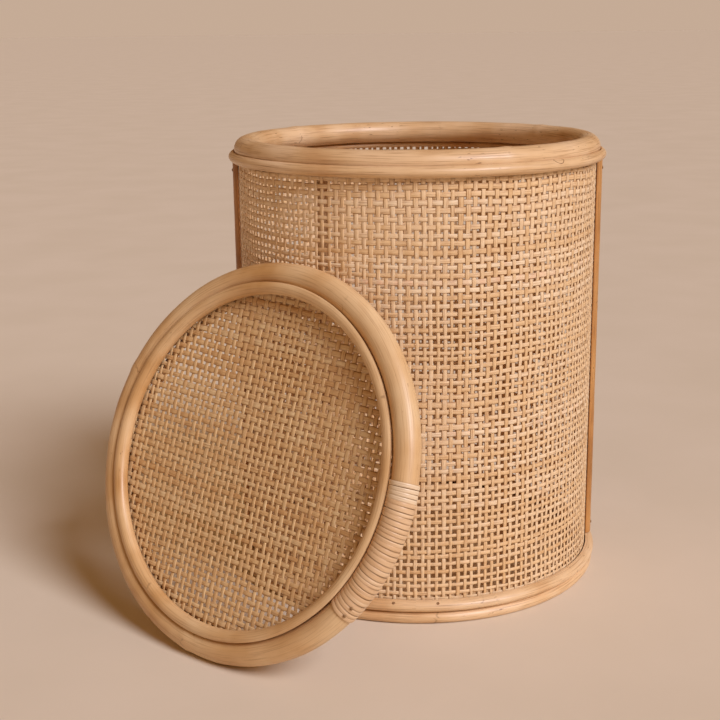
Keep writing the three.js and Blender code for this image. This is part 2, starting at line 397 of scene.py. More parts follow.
@dataclass(frozen=True)
class BirchPlywood:
    """Sanded birch plywood, unfinished.

    It gives the eye a dry, pale biscuit face with soft growth bands and short pale flecks.
    """

    name: str = "birch_plywood"
    light: str = "dcbf94"
    dark: str = "bd9563"
    band: Pair = (150 * MM, 16 * MM)
    fleck: Pair = (14 * MM, 1.6 * MM)

    def make(self) -> Finish:
        """Builds the material on object coordinates, its grain along X."""
        material, tree = new_material(self.name)
        place = add_node(tree, "ShaderNodeTexCoord").outputs["Object"]
        bands, flecks = (
            streaks(tree, place, (length, width, width), 3, distortion=0.4)
            for length, width in (self.band, self.fleck)
        )
        both = add_node(tree, "ShaderNodeMath", {0: bands, 1: flecks}, operation="ADD").outputs[0]
        grain = add_node(tree, "ShaderNodeMath", {0: both, 1: 0.5}, operation="MULTIPLY").outputs[0]
        colour = add_node(
            tree, "ShaderNodeValToRGB", {"Fac": grain}, stops=[(0.36, self.dark), (0.62, self.light)],
        )
        bump = add_node(
            tree, "ShaderNodeBump", {"Height": flecks, "Strength": 0.25, "Distance": 0.2 * MM},
        )
        close_material(tree, {
            "Base Color": colour.outputs[0], "Roughness": 0.68, "Normal": bump.outputs[0],
            "IOR": 1.5,
        })
        return material


@dataclass(frozen=True)
class DulledSteel:
    """Cut wire nail, its head dulled and spotted with brown.

    It gives the eye a small dull tan to brown dot with a soft glint.
    """

    name: str = "dulled_nail_steel"
    bright: str = "c2a57f"
    brown: str = "8a6040"
    spot: float = 1.1 * MM

    def make(self) -> Finish:
        """Builds the material on object coordinates."""
        material, tree = new_material(self.name)
        place = add_node(tree, "ShaderNodeTexCoord").outputs["Object"]
        spots = add_node(
            tree, "ShaderNodeTexNoise", {"Vector": place, "Scale": 1 / self.spot, "Detail": 3},
        ).outputs["Fac"]
        colour = add_node(
            tree, "ShaderNodeValToRGB", {"Fac": spots}, stops=[(0.42, self.bright), (0.62, self.brown)],
        )
        rough = add_node(tree, "ShaderNodeMapRange", {0: spots, 1: 0.3, 2: 0.7, 3: 0.38, 4: 0.7})
        bump = add_node(
            tree, "ShaderNodeBump", {"Height": spots, "Strength": 0.3, "Distance": 0.1 * MM},
        )
        close_material(tree, {
            "Base Color": colour.outputs[0], "Roughness": rough.outputs[0], "Metallic": 0.85,
            "Normal": bump.outputs[0],
        })
        return material


@dataclass(frozen=True)
class PaleStudioFloor:
    """Matt pale seamless floor.

    It gives the eye a calm, even ground with a barely visible unevenness.
    """

    name: str = "pale_studio_floor"
    light: str = "e6dac6"
    dark: str = "e2d6c1"
    mottle: float = 1 / 6

    def make(self) -> Finish:
        """Builds the material on object coordinates."""
        material, tree = new_material(self.name)
        place = add_node(tree, "ShaderNodeTexCoord").outputs["Object"]
        mottle = add_node(
            tree, "ShaderNodeTexNoise", {"Vector": place, "Scale": 1 / self.mottle, "Detail": 4},
        ).outputs["Fac"]
        colour = add_node(
            tree, "ShaderNodeValToRGB", {"Fac": mottle}, stops=[(0.35, self.dark), (0.65, self.light)],
        )
        close_material(tree, {"Base Color": colour.outputs[0], "Roughness": 0.75})
        return material


# ---------------------------------------------------------------- modelling helpers


def deselect_all() -> None:
    """Leaves object mode ready for a new primitive, with nothing selected."""
    if bpy.context.mode != "OBJECT":
        bpy.ops.object.mode_set(mode="OBJECT")
    bpy.ops.object.select_all(action="DESELECT")


def select_only(piece: Piece) -> None:
    """Makes one piece the selected and active object."""
    deselect_all()
    bpy.context.view_layer.objects.active = piece
    piece.select_set(True)


def select_whole() -> None:
    """Selects the whole mesh in edit mode."""
    bpy.ops.mesh.select_all(action="SELECT")


def primitive(add: Callable[..., set], **settings) -> Piece:
    """Adds a primitive shape, its object left at the origin, unturned and unscaled."""
    deselect_all()
    add(**settings)
    bpy.ops.object.transform_apply(location=True, rotation=True, scale=True)
    return bpy.context.object


def edit(piece: Piece, mode: str = "VERT") -> None:
    """Enters edit mode on one piece, with nothing selected in it."""
    select_only(piece)
    bpy.ops.object.mode_set(mode="EDIT")
    bpy.ops.mesh.select_mode(type=mode)
    bpy.ops.mesh.select_all(action="DESELECT")


def pick(piece: Piece, parts: str, wanted: Callable[[Vector], bool]) -> int:
    """Selects vertices, edges or faces of the piece in edit mode by their middle.

    Args:
        piece: the piece in edit mode.
        parts: "verts", "edges" or "faces".
        wanted: says whether the part with that middle is selected.

    Returns:
        How many were selected.
    """
    shape = bmesh.from_edit_mesh(piece.data)
    count = 0
    for part in getattr(shape, parts):
        if parts == "verts":
            middle = part.co
        elif parts == "edges":
            middle = (part.verts[0].co + part.verts[1].co) / 2
        else:
            middle = part.calc_center_median()
        chosen = wanted(middle)
        part.select_set(chosen)
        count += chosen
    bmesh.update_edit_mesh(piece.data)
    return count


def apply_modifier(piece: Piece, name: str, kind: str, **settings) -> None:
    """Adds a modifier with its settings and applies it to the mesh."""
    select_only(piece)
    modifier = piece.modifiers.new(name, kind)
    for key, value in settings.items():
        setattr(modifier, key, value)
    bpy.ops.object.modifier_apply(modifier=name)


def ease(piece: Piece, width: float, segments: int) -> None:
    """Takes the sharpness off every corner."""
    apply_modifier(
        piece, "eased", "BEVEL", width=width, segments=segments, limit_method="ANGLE",
        angle_limit=math.radians(50),
    )


def weather(piece: Piece, depth: float, wave: float) -> None:
    """Gives a pole the slight unevenness of a grown stem.

    Args:
        piece: the pole.
        depth: from the deepest hollow to the highest swelling.
        wave: length of one swelling.
    """
    swells = bpy.data.textures.new(f"{piece.name}_swell", "CLOUDS")
    swells.noise_scale = wave
    apply_modifier(
        piece, "swell", "DISPLACE", texture=swells, strength=depth, mid_level=0.5,
        texture_coords="LOCAL",
    )


def face_outwards(piece: Piece, smooth_angle: float = 40) -> None:
    """Merges doubles, turns every face outwards and smooths what isn't a corner."""
    edit(piece)
    select_whole()
    bpy.ops.mesh.remove_doubles(threshold=0.00001)
    bpy.ops.mesh.normals_make_consistent(inside=False)
    select_only(piece)
    bpy.ops.object.shade_smooth_by_angle(angle=math.radians(smooth_angle))


def write_grain(piece: Piece, values: np.ndarray) -> None:
    """Writes the lengthwise map (along, across), in metres, one row for each face corner."""
    layer = piece.data.uv_layers.get("grain") or piece.data.uv_layers.new(name="grain")
    layer.data.foreach_set("uv", np.asarray(values, dtype=np.float32).ravel())
    for other in [x for x in piece.data.uv_layers if x.name != "grain"]:
        piece.data.uv_layers.remove(other)


def write_attribute(mesh: bpy.types.Mesh, name: str, values: np.ndarray) -> None:
    """Writes one number to each vertex under a name that the finishes read."""
    layer = mesh.attributes.new(name, "FLOAT", "POINT")
    layer.data.foreach_set("value", np.asarray(values, dtype=np.float32))


def corner_tables(mesh: bpy.types.Mesh) -> tuple[np.ndarray, np.ndarray, np.ndarray]:
    """Vertex places, each corner's vertex and each corner's face."""
    places = np.empty(len(mesh.vertices) * 3)
    mesh.vertices.foreach_get("co", places)
    corners = np.empty(len(mesh.loops), dtype=np.int32)
    mesh.loops.foreach_get("vertex_index", corners)
    totals = np.empty(len(mesh.polygons), dtype=np.int32)
    mesh.polygons.foreach_get("loop_total", totals)
    return places.reshape(-1, 3), corners, np.repeat(np.arange(len(totals)), totals)


def near_face(values: np.ndarray, owners: np.ndarray) -> np.ndarray:
    """Keeps an angle from jumping by a full turn inside one face.

    Args:
        values: an angle for each corner, in radians.
        owners: each corner's face.

    Returns:
        The angles, each within half a turn of its face's first corner.
    """
    first = np.zeros(owners.max() + 1)
    index = np.unique(owners, return_index=True)[1]
    first[:] = values[index]
    return values + FULL_TURN * np.round((first[owners] - values) / FULL_TURN)


def grain_round(
    piece: Piece, ring: float, height: float, cut: float, shift: float,
) -> None:
    """Lays the lengthwise map round a ring that stands on the Z axis.

    Args:
        piece: the ring.
        ring: radius of its centre line.
        height: height of its centre line.
        cut: azimuth in degrees where the pole's two ends meet.
        shift: metres added along the pole, so that two rings don't look alike.
    """
    places, corners, owners = corner_tables(piece.data)
    x, y, z = places[corners].T
    turn = np.mod(np.arctan2(y, x) - math.radians(cut), FULL_TURN)
    round_pole = np.arctan2(z - height, ring - np.hypot(x, y))
    radius = np.hypot(np.hypot(x, y) - ring, z - height).mean()
    along = near_face(turn, owners) * ring + shift
    across = near_face(round_pole, owners) * radius
    write_grain(piece, np.stack([along, across], axis=1))


def mark_growth_rings(piece: Piece, ring: float, azimuths: Sequence[float]) -> None:
    """Notes each vertex's distance along the pole from the nearest sheath scar, in metres."""
    places, _, _ = corner_tables(piece.data)
    turn = np.arctan2(places[:, 1], places[:, 0])
    nearest = np.full(len(places), 1.0)
    for azimuth in azimuths:
        gap = np.mod(turn - math.radians(azimuth) + math.pi, FULL_TURN) - math.pi
        gap = gap * ring
        nearest = np.where(np.abs(gap) < np.abs(nearest), gap, nearest)
    write_attribute(piece.data, "node_distance", nearest)


def place_mesh(piece: Piece, matrix: Matrix) -> None:
    """Moves a piece by its mesh, so that its object stays at the origin."""
    piece.data.transform(matrix)
    piece.data.update()


def copy_piece(piece: Piece, name: str, matrix: Matrix) -> Piece:
    """Copies a piece with its own mesh, moves the copy and names it."""
    twin = piece.copy()
    twin.data = piece.data.copy()
    twin.name = twin.data.name = name
    bpy.context.collection.objects.link(twin)
    place_mesh(twin, matrix)
    return twin


def settle(
    piece: Piece, name: str, body: Body, finish: Finish,
    stands_for: Sequence[str],
) -> None:
    """Names a finished piece, dresses it and gives it to its body.

    Args:
        piece: the finished piece.
        name: its name.
        body: the body it rides on.
        finish: its material.
        stands_for: the plain nodes that it replaces.
    """
    piece.name = piece.data.name = name
    piece.data.materials.clear()
    piece.data.materials.append(finish)
    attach(piece, body.value)
    if stands_for:
        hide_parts(*stands_for)
    log.info("%s: %d faces, on %s", name, len(piece.data.polygons), body.value)


# ---------------------------------------------------------------- rings of pole


def square_to(start: Pair, end: Pair) -> Pair:
    """Direction square to a line of the section, a quarter turn on from its own."""
    run, rise = end[0] - start[0], end[1] - start[1]
    length = math.hypot(run, rise)
    return (-rise / length, run / length)


@dataclass
class PoleRing:
    """A full round pole bent to a ring, its ends joined at `cut`.

    Attributes:
        name: the piece's name.
        ring: radius of its centre line.
        pole: the pole's own radius.
        height: height of its centre line.
        scars: azimuths of its sheath scars.
        cut: azimuth where its two ends meet.
        shift: moves its grain along.
        swell: how far it swells at a scar.
    """

    name: str
    ring: float
    pole: float
    height: float = 0.0
    scars: tuple[float, ...] = ()
    cut: float = 90.0
    shift: float = 0.0
    swell: float = 0.5 * MM

    def build(self) -> Piece:
        """Bends the pole, swells it at each sheath scar and lays its grain."""
        piece = primitive(
            bpy.ops.mesh.primitive_torus_add, major_segments=RING_STEPS,
            minor_segments=POLE_SIDES, major_radius=self.ring, minor_radius=self.pole,
            location=(0, 0, self.height),
        )
        piece.name = self.name
        for azimuth in self.scars:
            self.swell_at(piece, azimuth)
        weather(piece, self.swell * 1.6, 45 * MM)
        face_outwards(piece, 60)
        grain_round(piece, self.ring, self.height, self.cut, self.shift)
        mark_growth_rings(piece, self.ring, self.scars)
        return piece

    def swell_at(self, piece: Piece, azimuth: float) -> None:
        """Swells the pole a little round one sheath scar."""
        angle = math.radians(azimuth)
        middle = Vector((self.ring * math.cos(angle), self.ring * math.sin(angle), self.height))
        along = Vector((-math.sin(angle), math.cos(angle), 0))
        step = FULL_TURN * self.ring / RING_STEPS
        edit(piece)
        pick(piece, "verts", lambda p: (
            abs((p - middle).dot(along)) < step * 0.55 and (p - middle).length < self.pole * 1.5
        ))
        size = 1 + self.swell / self.pole
        bpy.ops.transform.resize(
            value=(size, size, size), center_override=middle,
            use_proportional_edit=True, proportional_size=7 * MM,
            proportional_edit_falloff="SMOOTH",
        )
        deselect_all()


@dataclass
class Strip:
    """A ring of half-round or flattened pole, cut from an oval section.

    Attributes:
        name: the piece's name.
        middle: radius and height of the oval's middle.
        half: half its depth across the wall and half its height.
        cuts: planes through the section, each a (radius, height) point and an outward
            (radius, height) direction; what lies beyond a plane is cut away.
        scars: azimuths of its sheath scars.
        cut: azimuth where the pole's two ends meet.
        shift: moves its grain along.
        sides: how many the oval has before it is cut.
        unevenness: from its deepest hollow to its highest swelling.
    """

    name: str
    middle: Pair
    half: Pair
    cuts: tuple[tuple[Pair, Pair], ...]
    scars: tuple[float, ...] = ()
    cut: float = 90.0
    shift: float = 0.0
    sides: int = 28
    unevenness: float = 0.35 * MM

    def build(self) -> Piece:
        """Cuts the section, spins it round the axis and lays its grain."""
        piece = primitive(
            bpy.ops.mesh.primitive_circle_add, vertices=self.sides, radius=1.0, fill_type="NGON",
        )
        piece.name = self.name
        edit(piece)
        select_whole()
        bpy.ops.transform.rotate(
            value=math.pi / 2, orient_axis="X", center_override=(0, 0, 0), orient_type="GLOBAL",
        )
        bpy.ops.transform.resize(
            value=(self.half[0], 1, self.half[1]), center_override=(0, 0, 0),
        )
        bpy.ops.transform.translate(value=(self.middle[0], 0, self.middle[1]))
        for point, outward in self.cuts:
            select_whole()
            bpy.ops.mesh.bisect(
                plane_co=(point[0], 0, point[1]), plane_no=(outward[0], 0, outward[1]),
                clear_outer=True, use_fill=False,
            )
        select_whole()
        bpy.ops.mesh.delete(type="ONLY_FACE")
        select_whole()
        bpy.ops.mesh.spin(
            steps=RING_STEPS, angle=FULL_TURN, center=(0, 0, 0), axis=(0, 0, 1), dupli=False,
        )
        deselect_all()
        face_outwards(piece, 50)
        if self.unevenness:
            weather(piece, self.unevenness, 40 * MM)
        grain_round(piece, self.middle[0], self.middle[1], self.cut, self.shift)
        mark_growth_rings(piece, self.middle[0], self.scars)
        return piece


# ---------------------------------------------------------------- woven cane


def smooth_field(
    rng: np.random.Generator, shape: tuple[int, int], cell: float, size: float,
) -> np.ndarray:
    """A smooth random field over a grid of crossings.

    Args:
        rng: the seeded source of randomness.
        shape: how many crossings each way.
        cell: crossings between two of the field's own random values.
        size: the field's spread.

    Returns:
        An array of that shape.
    """
    rows = int(shape[0] / cell) + 4
    columns = int(shape[1] / cell) + 4
    coarse = rng.normal(0, size, (rows, columns))

    def stretch(values: np.ndarray, count: int) -> np.ndarray:
        """Cosine interpolation along the first axis."""
        place = np.arange(count) / cell + 1
        low = place.astype(int)
        share = (1 - np.cos(math.pi * (place - low))) / 2
        return values[low] * (1 - share)[:, None] + values[low + 1] * share[:, None]

    return stretch(stretch(coarse, shape[0]).T, shape[1]).T


@dataclass
class Strand:
    """One strand's path: its points, the panel's outward direction, widths and tone."""

    points: np.ndarray
    outward: np.ndarray
    widths: np.ndarray
    tone: float


# a flattened strand's section: across as a share of the half width, then out of the panel
# as a share of the half thickness
STRAND_SECTION = (
    (-1.0, 0.0), (-0.62, 0.92), (0.0, 1.05), (0.62, 0.92), (1.0, 0.0), (0.6, -1.0), (-0.6, -1.0),
)

# the lashing's strand is split flatter, with its corners just rounded
LASHING_SECTION = (
    (-1.0, -0.3), (-0.9, 0.45), (-0.55, 0.9), (0.0, 1.0), (0.55, 0.9), (0.9, 0.45), (1.0, -0.3),
    (0.0, -0.8),
)


def strand_mesh(
    name: str, strands: Sequence[Strand], thickness: float,
    section: Sequence[Pair] = STRAND_SECTION,
) -> Piece:
    """Makes closed strands along their paths as one piece.

    Args:
        name: the piece's name.
        strands: the strands.
        thickness: a strand's thickness.
        section: outline of a strand, going round it once.

    Returns:
        The piece, with its lengthwise map and each strand's tone.
    """
    outline = np.array(section)
    sides = len(outline)
    places, faces, grain, tones = [], [], [], []
    start = 0
    for strand in strands:
        points, outward = strand.points, strand.outward
        count = len(points)
        ahead = np.gradient(points, axis=0)
        ahead /= np.linalg.norm(ahead, axis=1, keepdims=True)
        side = np.cross(outward, ahead)
        side /= np.linalg.norm(side, axis=1, keepdims=True)
        up = np.cross(ahead, side)
        half = strand.widths[:, None, None] / 2
        ring = (
            points[:, None]
            + side[:, None] * outline[None, :, :1] * half
            + up[:, None] * outline[None, :, 1:] * thickness / 2
        )
        places.append(ring.reshape(-1, 3))
        steps = np.linalg.norm(np.diff(points, axis=0), axis=1)
        along = np.concatenate([[0], np.cumsum(steps)])
        across = outline[None, :, 0] * strand.widths[:, None] / 2
        grain.append(np.stack([np.repeat(along, sides), across.ravel()], axis=1))
        tones.append(np.full(count * sides, strand.tone))
        first = start + np.arange(count - 1)[:, None] * sides
        here, after = np.arange(sides), (np.arange(sides) + 1) % sides
        quads = np.stack(
            [first + here, first + after, first + sides + after, first + sides + here], axis=2,
        )
        faces.extend(quads.reshape(-1, 4).tolist())
        faces.append((start + here[::-1]).tolist())
        faces.append((start + (count - 1) * sides + here).tolist())
        start += count * sides
    mesh = bpy.data.meshes.new(name)
    mesh.from_pydata(np.concatenate(places).tolist(), [], faces)
    piece = bpy.data.objects.new(name, mesh)
    bpy.context.collection.objects.link(piece)
    corners = corner_tables(mesh)[1]
    write_grain(piece, np.concatenate(grain)[corners])
    write_attribute(mesh, "strand_tone", np.concatenate(tones))
    mesh.polygons.foreach_set("use_smooth", np.ones(len(mesh.polygons), dtype=bool))
    mesh.update()
    return piece


@dataclass
class Webbing:
    """Plain over-and-under webbing laid out on a flat grid of crossings.

    Attributes:
        uprights: how many strands run upwards.
        rounds: how many run across.
        pitch_across: spacing of the upright strands.
        pitch_up: spacing of the strands that run across.
        seed: makes the hand-laid unevenness.
        spread: how much the strands' breadth changes from place to place, as a share.
        tight_end: how much closer the last strands lie than the first, as a share.
        tight_top: how much closer the top strands lie than the lowest, as a share.
        rise: how far a strand's middle stands off the panel's where it passes over.
        spacing_jitter: how unevenly whole strands are spaced.
        drift: how far a strand wanders from its straight line.
        fine: steps from one crossing to the next.
        own_spread: how much one strand's breadth differs from the next, as a share.
        waver: how much one strand's breadth changes along it, as a share.
        tones: middle of the strands' tones, and its spread up and across.
    """

    uprights: int
    rounds: int
    pitch_across: float
    pitch_up: float
    seed: int
    upright_width: float = 2.9 * MM
    round_width: float = 3.25 * MM
    spread: float = 0.13
    tight_end: float = 0.0
    tight_top: float = 0.0
    thickness: float = 0.56 * MM
    rise: float = 0.33 * MM
    spacing_jitter: float = 0.36 * MM
    drift: float = 0.5 * MM
    fine: int = 2
    own_spread: float = 0.09
    waver: float = 0.04
    tones: Triple = (0.5, 0.07, 0.13)
    tone_limits: Pair = (0.05, 0.95)
    tight_limits: Pair = (0.8, 1.24)
    width_limits: Pair = (0.8, 1.18)
    rng: np.random.Generator = field(init=False)
    tightness: np.ndarray = field(init=False)
    across: np.ndarray = field(init=False)
    up: np.ndarray = field(init=False)
    over: np.ndarray = field(init=False)

    def __post_init__(self) -> None:
        """Lays out the crossings with their unevenness."""
        self.rng = np.random.default_rng(self.seed)
        shape = (self.uprights, self.rounds)
        across = (np.arange(self.uprights) + 0.5) * self.pitch_across
        up = (np.arange(self.rounds) + 0.5) * self.pitch_up
        across = across + self.rng.normal(0, self.spacing_jitter, self.uprights)
        up = up + self.rng.normal(0, self.spacing_jitter, self.rounds)
        self.across = across[:, None] + self.wander(shape, 7.0)
        self.up = up[None, :] + self.wander(shape, 8.0)
        share_across = np.linspace(-0.5, 0.5, self.uprights)[:, None]
        share_up = np.linspace(-0.5, 0.5, self.rounds)[None, :]
        self.tightness = (
            1 + smooth_field(self.rng, shape, 9.0, self.spread)
            + self.tight_end * share_across + self.tight_top * share_up
        )
        parity = (np.arange(self.uprights)[:, None] + np.arange(self.rounds)[None, :]) % 2
        self.over = np.where(parity == 0, 1.0, -1.0)

    def wander(self, shape: tuple[int, int], cell: float) -> np.ndarray:
        """Long and short wandering of the crossings, `cell` crossings long at its longest."""
        long = smooth_field(self.rng, shape, cell, self.drift)
        return long + smooth_field(self.rng, shape, 2.5, self.drift * 0.35)

    def own_tones(self, run: Run, count: int) -> np.ndarray:
        """A tone from 0 to 1 for each strand: mostly pale, a few of those across darker."""
        middle, upright_spread, round_spread = self.tones
        spread = upright_spread if run is Run.UPRIGHT else round_spread
        return np.clip(self.rng.normal(middle, spread, count), *self.tone_limits)

    def lines(self, run: Run) -> list[tuple[np.ndarray, np.ndarray, np.ndarray, float]]:
        """Each strand on the flat grid.

        Args:
            run: which way the strands run.

        Returns:
            For each strand its places across and up (n, 2), its height over the panel's
            middle, its widths and its tone.
        """
        upright = run is Run.UPRIGHT
        across = self.across if upright else self.across.T
        up = self.up if upright else self.up.T
        heights = (-self.over if upright else self.over.T) * self.rise
        width = self.upright_width if upright else self.round_width
        tones = self.own_tones(run, len(across))
        tight = np.clip(self.tightness if upright else self.tightness.T, *self.tight_limits)
        own = self.rng.normal(1, self.own_spread, len(across))
        own_width = width * np.clip(own, *self.width_limits)
        count = across.shape[1]
        knots = np.arange(count, dtype=float)
        fine = np.linspace(0, count - 1, (count - 1) * self.fine + 1)
        made = []
        for index in range(len(across)):
            place = np.stack([np.interp(fine, knots, axis[index]) for axis in (across, up)], 1)
            # the strand swings from over to under like a cosine between two crossings
            low = np.minimum(fine.astype(int), count - 2)
            share = (1 - np.cos(math.pi * (fine - low))) / 2
            height = heights[index][low] * (1 - share) + heights[index][low + 1] * share
            # a strand lying over its neighbour spreads a little, one passing under is squeezed
            waver = smooth_field(self.rng, (len(fine), 1), 9.0, self.waver)[:, 0]
            gathered = np.interp(fine, knots, tight[index])
            widths = own_width[index] * gathered * (1 + waver + self.waver * np.sign(height))
            made.append((place, height, widths, float(tones[index])))
        return made


@dataclass
class CaneWall:
    """Half of the bin's wall: webbing bent round the axis between two seams.

    Attributes:
        side: "front" or "back".
        start: azimuth of the seam that it starts from.
        node: the plain node that it stands for.
        seed: makes its unevenness.
        closeness: how much broader its strands are than usual, as a factor.
        tight_end: how much closer its last strands lie than its first, as a share.
        hem: how far its edges stay inside the node's.
    """

    side: str
    start: float
    node: str
    seed: int
    closeness: float = 1.0
    tight_end: float = 0.0
    tight_top: float = 0.2
    slit: float = 0.8 * MM
    hem: float = 0.4 * MM
    uprights: int = 83
    rounds: int = 58

    def build(self, finish: Finish) -> None:
        """Weaves both runs of the half wall."""
        low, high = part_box(self.node)
        outer = max(abs(low.x), abs(high.x))
        radius = outer - WALL_THICKNESS / 2
        slit = self.slit / outer
        sweep = math.pi - 2 * slit
        bottom, top = low.z, high.z
        start = math.radians(self.start) + slit
        webbing = Webbing(
            self.uprights, self.rounds, sweep * radius / self.uprights,
            (top - bottom) / self.rounds, self.seed, tight_end=self.tight_end,
            tight_top=self.tight_top,
        )
        webbing.upright_width *= self.closeness
        webbing.round_width *= self.closeness
        for run in Run:
            strands = []
            for place, height, widths, tone in webbing.lines(run):
                turn = start + np.clip(place[:, 0] / radius, 0.004, sweep - 0.004)
                up = np.clip(bottom + place[:, 1], bottom + self.hem, top - self.hem)
                if run is Run.UPRIGHT:
                    up[0], up[-1] = bottom + self.hem, top - self.hem
                outward = np.stack([np.cos(turn), np.sin(turn), np.zeros(len(turn))], axis=1)
                points = outward * (radius + height)[:, None]
                points[:, 2] = up
                strands.append(Strand(points, outward, widths, tone))
            name = f"wall_{self.side}_{'upright' if run is Run.UPRIGHT else 'round'}_strands"
            piece = strand_mesh(name, strands, webbing.thickness)
            stands_for = [self.node] if run is Run.ROUND else []
            settle(piece, name, Body.BIN, finish, stands_for)


# ---------------------------------------------------------------- the bin


@dataclass
class BinRings:
    """Every ring of the bin, from the open rim down to the foot.

    Attributes:
        rim_hollow: (radius, height) points of the top trim's hollow, where the rim pole nests.
    """

    rim_ring: float = 136.5 * MM
    rim_pole: float = 9.0 * MM
    rim_height: float = 347.0 * MM
    rim_hollow: tuple[Pair, ...] = (
        (143.5 * MM, 340.88 * MM), (145.07 * MM, 343.39 * MM), (145.73 * MM, 345.9 * MM),
    )
    trim_face: float = 143.5 * MM
    trim_depth: float = 6.5 * MM
    trim_height: float = 9.3 * MM
    top_trim_low: float = 336.6 * MM
    bottom_trim_low: float = 9.3 * MM
    inside_face: float = 140.5 * MM
    inner_trim_middle: float = 335.5 * MM
    inner_trim_half: Pair = (3.8 * MM, 2.5 * MM)
    hoop_middle: float = 19.1 * MM
    hoop_half: Pair = (9.0 * MM, 4.5 * MM)
    foot_middle: Pair = (142.5 * MM, 4.5 * MM)
    foot_half: Pair = (6.1 * MM, 4.9 * MM)
    foot_inside: float = 139.5 * MM
    foot_height: float = 9.0 * MM

    def build(self, finish: Finish) -> None:
        """Makes the six rings."""
        rim = PoleRing(
            "rim_pole", self.rim_ring, self.rim_pole, self.rim_height,
            scars=(-62.0, 38.0, 141.0, -158.0), cut=97.0, shift=0.31,
        )
        settle(rim.build(), "rim_pole", Body.BIN, finish, ["top_rim_pole"])
        for strip, node in self.strips():
            settle(strip.build(), strip.name, Body.BIN, finish, [node])

    def strips(self) -> list[tuple[Strip, str]]:
        """The flat-backed rings, each with the node that it stands for."""
        half = (self.trim_depth, self.trim_height / 2)
        flat_back = ((self.trim_face, 0.0), (-1.0, 0.0))
        flat_front = ((self.inside_face, 0.0), (1.0, 0.0))
        lowest, middle, highest = self.rim_hollow
        top = Strip(
            "top_outer_trim_strip", (self.trim_face, self.top_trim_low + half[1]), half,
            cuts=(
                flat_back,
                (middle, square_to(lowest, middle)),
                (middle, square_to(middle, highest)),
            ),
            scars=(-29.0, 118.0), cut=93.0, shift=1.7,
        )
        bottom = Strip(
            "bottom_outer_trim_strip", (self.trim_face, self.bottom_trim_low + half[1]), half,
            cuts=(flat_back,), scars=(-70.0, 55.0, 170.0), cut=-89.0, shift=2.9,
        )
        foot = Strip(
            "foot_ring_strip", self.foot_middle, self.foot_half,
            cuts=(
                ((self.foot_inside, 0.0), (-1.0, 0.0)), ((0.0, 0.0), (0.0, -1.0)),
                ((0.0, self.foot_height), (0.0, 1.0)),
            ),
            scars=(-84.0, 20.0, 140.0), cut=60.0, shift=4.1, unevenness=0.0,
        )
        inner = Strip(
            "top_inner_trim_strip", (self.inside_face, self.inner_trim_middle), self.inner_trim_half,
            cuts=(flat_front,), scars=(70.0,), cut=-90.0, shift=5.3, sides=20, unevenness=0.15 * MM,
        )
        hoop = Strip(
            "base_hoop_strip", (self.inside_face, self.hoop_middle), self.hoop_half,
            cuts=(flat_front,), scars=(40.0, 200.0), cut=-60.0, shift=6.1, unevenness=0.15 * MM,
        )
        return [
            (top, "top_outer_trim"), (bottom, "bottom_outer_trim"), (foot, "foot_ring"),
            (inner, "top_inner_trim"), (hoop, "base_hoop"),
        ]


